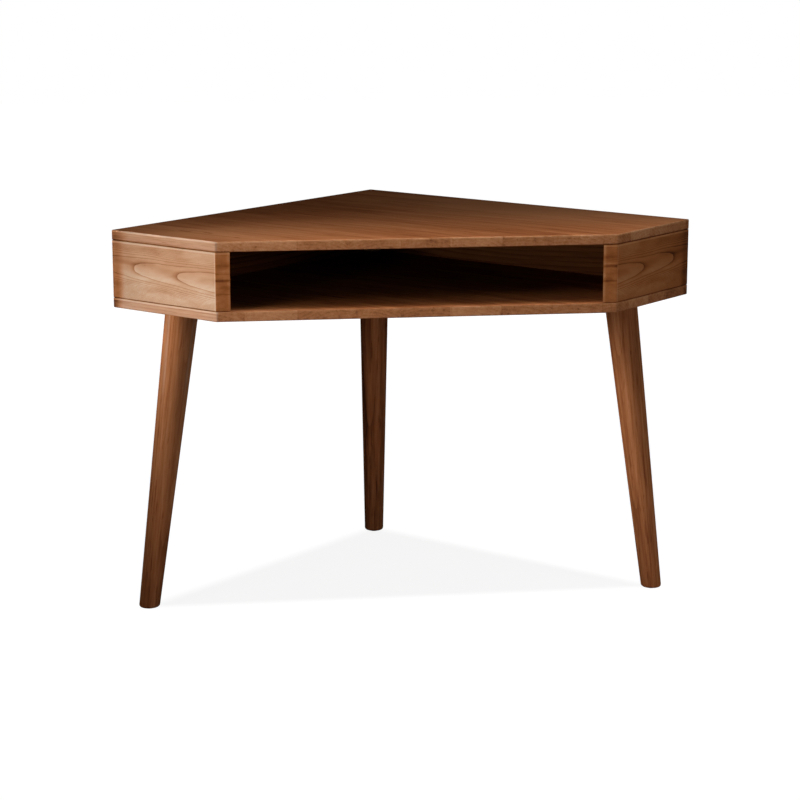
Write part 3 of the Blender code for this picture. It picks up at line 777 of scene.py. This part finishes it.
def leg_wood(side, stand):
    """Grain that runs down the leg, over rings whose heart lies outside it, with painted shade and
    light on its sides and towards the foot.
    """
    material, shader, place = start_material(side + "_leg_walnut")
    look = LEG_LOOKS[side]
    local = turned_place(place, stand.translation, stand.to_euler())
    across, deep, down = axes_of(local)
    grain = from_axes(down + look["start"], across, deep)
    wander = cloud(grain, (2.0, 16.0, 16.0), 2.0)
    x = across - look["heart"][0]
    y = deep - look["heart"][1]
    radius = (x * x + y * y) ** 0.5 + 0.010 * wander
    phase = fraction(radius / LEG_RING_WIDTH)
    streaks = cloud(grain, (5.0, 190.0, 190.0), 4.0, 0.65)
    drifts = cloud(grain, (3.0, 55.0, 55.0), 2.0)
    flecks = fade(cloud(grain, (24.0, 240.0, 240.0), 1.0), 0.62, 0.70)
    descent = fade(down, -0.10, -0.60)
    # Painted shade: darker towards the foot, and darker over the whole back leg.
    top_tone, foot_tone = look["tones"]
    darkness = top_tone + (foot_tone - top_tone) * descent
    radius_here = LEG_TOP_RADIUS + (LEG_TOP_RADIUS - LEG_FOOT_RADIUS) / underside * down
    around = (across if side == "back" else deep) / radius_here * (-1.0 if side == "left" else 1.0)
    # Painted shade along the left side, and on the right side painted light for the side legs and
    # painted shade for the back leg, strongest at the top.
    left_side_shade, left_shade_end, painted_right_side = look["edges"]
    darkness = darkness + left_side_shade * (1.0 - fade(around, -1.0, left_shade_end))
    darkness = darkness + painted_right_side * fade(around, 0.2, 1.0) * (1.0 - 1.6 * descent)
    darkness = darkness + 0.17 * phase ** 2.5 + 0.90 * (streaks - 0.5)
    darkness = darkness + 0.7 * (drifts - 0.5) + 0.16 * flecks
    others = []
    # A painted highlight: a pale stripe down the upper part of the left leg.
    if side == "left":
        off_highlight = abs(across + 0.62 * LEG_TOP_RADIUS)
        painted_highlight = (1.0 - fade(off_highlight, 0.0010, 0.0045)) * (1.0 - fade(down, -0.13, -0.22))
        others = [(0.5 * painted_highlight, SHEEN_COLORS)]
    finish_wood(shader, grain, darkness, WALNUT_COLORS, *others)
    return material


def leg(side):
    """One turned leg, with the blind hole of its bolt."""
    stand, foot_middle, length = leg_frame(side)
    taper = (LEG_TOP_RADIUS - LEG_FOOT_RADIUS) / length
    past_floor = LEG_TOP_RADIUS
    shoulder = LEG_DROP + LEG_TOP_CHAMFER
    profile = [
        (0.0, -LEG_DROP - BOLT_HOLE_DEPTH),
        (BOLT_HOLE_RADIUS, -LEG_DROP - BOLT_HOLE_DEPTH),
        (BOLT_HOLE_RADIUS, -LEG_DROP),
        (LEG_TOP_RADIUS - taper * LEG_DROP - LEG_TOP_CHAMFER, -LEG_DROP),
        (LEG_TOP_RADIUS - taper * shoulder, -shoulder),
        (LEG_FOOT_RADIUS - taper * past_floor, -length - past_floor),
        (0.0, -length - past_floor),
    ]
    bm = bmesh.new()
    points = [bm.verts.new((radius, 0.0, height)) for radius, height in profile]
    edges = [bm.edges.new(pair) for pair in zip(points, points[1:])]
    bmesh.ops.spin(
        bm, geom=points + edges, cent=(0.0, 0.0, 0.0), axis=(0.0, 0.0, 1.0),
        angle=math.tau, steps=LEG_SIDES, use_merge=True)
    bmesh.ops.remove_doubles(bm, verts=bm.verts, dist=SAME_PLACE)
    bmesh.ops.recalc_face_normals(bm, faces=bm.faces)
    bmesh.ops.transform(bm, matrix=stand, verts=bm.verts)
    sliced = bmesh.ops.bisect_plane(
        bm, geom=bm.verts[:] + bm.edges[:] + bm.faces[:], dist=SAME_PLACE,
        plane_co=foot_middle, plane_no=(0.0, 0.0, 1.0), clear_inner=True)
    rim = [item for item in sliced["geom_cut"] if isinstance(item, bmesh.types.BMEdge)]
    bmesh.ops.edgeloop_fill(bm, edges=rim)
    ease(bm, rim, LEG_FOOT_ROUND, FOOT_STEPS)
    node = side + "_leg"
    add_piece("walnut_" + node, bm, leg_wood(side, stand), "walnut_leg", node)


for side in ("left", "right", "back"):
    leg(side)


# Leg plates: pressed sheet steel with a black powder coat, screwed under the bottom board.
# The coat has a fine orange peel and is dull where it pooled.
COAT_COLORS = ((0.0, (0.018, 0.018, 0.019, 1.0)), (1.0, (0.045, 0.044, 0.043, 1.0)))
COAT_DEPTH = 0.0001


def powder_coat():
    """Near-black coat with a fine pebbled skin."""
    material, shader, place = start_material("black_powder_coat")
    peel = cloud(place, (900.0, 900.0, 900.0), 2.0)
    patches = cloud(place, (60.0, 60.0, 60.0), 2.0)
    cover(shader, ramp(patches, COAT_COLORS), 0.34 + 0.22 * patches, peel, 0.5, COAT_DEPTH)
    return material


dress_all("black_steel", powder_coat())


# Screws, hanger bolts and weld nuts: bright zinc-plated steel, with a faint drawn grain.
ZINC_COLORS = ((0.0, (0.46, 0.45, 0.41, 1.0)), (1.0, (0.70, 0.69, 0.66, 1.0)))
SCRATCH_DEPTH = 0.00005


def zinc_steel():
    """Plated steel with a cloudy, slightly yellow bloom."""
    material, shader, place = start_material("zinc_steel")
    bloom = cloud(place, (260.0, 260.0, 260.0), 3.0)
    scratches = cloud(place, (2600.0, 2600.0, 180.0), 2.0)
    cover(shader, ramp(bloom, ZINC_COLORS), 0.22 + 0.22 * bloom, scratches, 0.3, SCRATCH_DEPTH)
    shader.inputs["Metallic"].default_value = 1.0
    return material


dress_all("zinc_steel", zinc_steel())


# Foot glides: moulded brown plastic discs, each on a nail that is driven up into the foot.
PLASTIC_COLORS = ((0.0, (0.020, 0.012, 0.008, 1.0)), (1.0, (0.055, 0.034, 0.022, 1.0)))
SCUFF_DEPTH = 0.0001


def glide_plastic():
    """Dull moulded plastic, scuffed where it slides."""
    material, shader, place = start_material("brown_plastic")
    scuffs = cloud(place, (500.0, 90.0, 500.0), 3.0)
    cover(shader, ramp(scuffs, PLASTIC_COLORS), 0.42 + 0.3 * scuffs, scuffs, 0.4, SCUFF_DEPTH)
    return material


dress_all("brown_plastic", glide_plastic())


# Studio: a white sweep, lit by a low key light and soft boxes on the left, boxes overhead,
# in front, behind and on the right, and a narrow weak one for each leg. The floor is white
# to the camera, with a painted pale grey shadow between the three feet.
FLOOR_HALF = 12.0
PAINTED_SHADOW_GLOW = 0.895
FLOOR_SHADE = 0.08
FLOOR_BOUNCE = 0.35
WORLD_FILL = 0.10
SEEN_RAYS = ("Is Camera Ray", "Is Glossy Ray", "Is Transmission Ray")
CAMERA_PLACE = (-0.5715, -4.3776, 1.3434)
CAMERA_YAW = math.radians(-7.6308)
CAMERA_PITCH = math.radians(90.0 - 12.4384)
CAMERA_LENS = 98.67
CAMERA_SENSOR = 36.0
CAMERA_REACH = 60.0


def grey(share):
    """A grey that gives back this share of the light, 1 for white."""
    return (share, share, share, 1.0)


def seen(start):
    """1 for what the camera, a reflection or clear glass sees, and 0 for light."""
    paths = start.node("LightPath").socket.node.outputs
    straight, mirrored, through = [Signal(start.tree, paths[name]) for name in SEEN_RAYS]
    return start.calculate("MAXIMUM", start.calculate("MAXIMUM", straight, mirrored), through)


def light_world():
    """White where it is seen, and a weak even fill where it lights."""
    world = bpy.data.worlds.new("studio")
    world.use_nodes = True
    tree = world.node_tree
    tree.nodes.clear()
    start = Signal(tree)
    white = start.node("Background", None, {"Color": grey(1.0), "Strength": 1.0})
    fill = start.node("Background", None, {"Color": grey(1.0), "Strength": WORLD_FILL})
    both = start.node("MixShader", None, {0: seen(start), 1: fill, 2: white})
    tree.links.new(both.socket, tree.nodes.new("ShaderNodeOutputWorld").inputs["Surface"])
    bpy.context.scene.world = world


def floor_glow(place):
    """White, but for a painted shadow, a pale grey patch between the three feet."""
    x, y = axes_of(place)[:2]
    low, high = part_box("left_foot_glide")
    feet_y = (low + high).y / 2.0
    soft = 0.022
    from_walls = back_corner_y - abs(x) - y
    # A painted shadow: the glow dims in the triangle between the three feet.
    under = fade(y, feet_y - soft, feet_y + soft) * fade(from_walls, -0.010, 0.065)
    return 1.0 - (1.0 - PAINTED_SHADOW_GLOW) * under


def lay_floor():
    """A wide floor that glows white to the camera and gives back a little light."""
    bm = bmesh.new()
    bmesh.ops.create_grid(bm, x_segments=1, y_segments=1, size=FLOOR_HALF)
    mesh = bpy.data.meshes.new("floor")
    bm.to_mesh(mesh)
    bm.free()
    floor = bpy.data.objects.new("floor", mesh)
    bpy.context.scene.collection.objects.link(floor)
    material = bpy.data.materials.new("floor")
    material.use_nodes = True
    tree = material.node_tree
    tree.nodes.clear()
    start = Signal(tree)
    glow = floor_glow(start.node("TexCoord", None, None, "Object"))
    shade = start.node("BsdfDiffuse", None, {"Color": grey(FLOOR_SHADE)})
    white = start.node("Emission", None, {"Color": grey(1.0), "Strength": glow})
    shown = start.node("AddShader", None, {0: shade, 1: white})
    bounce = start.node("BsdfDiffuse", None, {"Color": grey(FLOOR_BOUNCE)})
    both = start.node("MixShader", None, {0: seen(start), 1: bounce, 2: shown})
    tree.links.new(both.socket, tree.nodes.new("ShaderNodeOutputMaterial").inputs["Surface"])
    mesh.materials.append(material)


def soft_light(name, place, aim, size, power, spread):
    """A soft box that stands at a place and points at another, its spread in degrees."""
    lamp = bpy.data.lights.new(name, "AREA")
    lamp.shape = "RECTANGLE"
    lamp.size, lamp.size_y = size
    lamp.energy = power
    lamp.spread = math.radians(spread)
    box = bpy.data.objects.new(name, lamp)
    box.location = place
    box.rotation_euler = (Vector(aim) - Vector(place)).to_track_quat("-Z", "Y").to_euler()
    bpy.context.scene.collection.objects.link(box)


light_world()
lay_floor()
soft_light("key", (-2.0, -0.70, 0.80), (-0.15, -0.27, 0.62), (0.4, 0.3), 1.02, 26.0)
soft_light("left_box", (-1.6, -1.3, 1.6), (-0.3, -0.5, 0.7), (0.6, 0.6), 1.12, 50.0)
soft_light("low_box", (-1.9, -2.6, 0.85), (0.2, -0.2, 0.68), (0.4, 0.4), 0.5, 40.0)
soft_light("left_leg_box", (-1.26, -2.45, 0.25), (-0.5, -0.17, 0.25), (0.3, 0.3), 0.065, 11.0)
soft_light("right_leg_box", (-1.07, -1.98, 0.25), (0.5, -0.17, 0.20), (0.3, 0.3), 0.05, 11.0)
soft_light("back_leg_box", (-0.30, -2.40, 0.25), (0.0, 0.33, 0.30), (0.3, 0.3), 0.04, 9.0)
soft_light("overhead_box", (0.1, -0.7, 2.2), (0.1, -0.65, 0.76), (1.2, 0.5), 1.65, 40.0)
soft_light("front_box", (0.36, -0.7, 1.7), (0.36, -0.6, 0.76), (1.4, 0.4), 1.95, 60.0)
soft_light("back_box", (0.2, 3.4, 0.45), (0.0, 0.2, 0.55), (2.4, 0.5), 22.0, 180.0)
soft_light("right_box", (2.4, -2.2, 1.0), (0.3, 0.0, 0.5), (1.0, 1.0), 10.6, 180.0)

camera = bpy.data.objects.new("camera", bpy.data.cameras.new("camera"))
camera.data.lens = CAMERA_LENS
camera.data.sensor_width = CAMERA_SENSOR
camera.data.clip_end = CAMERA_REACH
camera.location = CAMERA_PLACE
camera.rotation_euler = (CAMERA_PITCH, 0.0, CAMERA_YAW)
bpy.context.scene.collection.objects.link(camera)
bpy.context.scene.camera = camera
bpy.context.scene.view_settings.view_transform = "Standard"
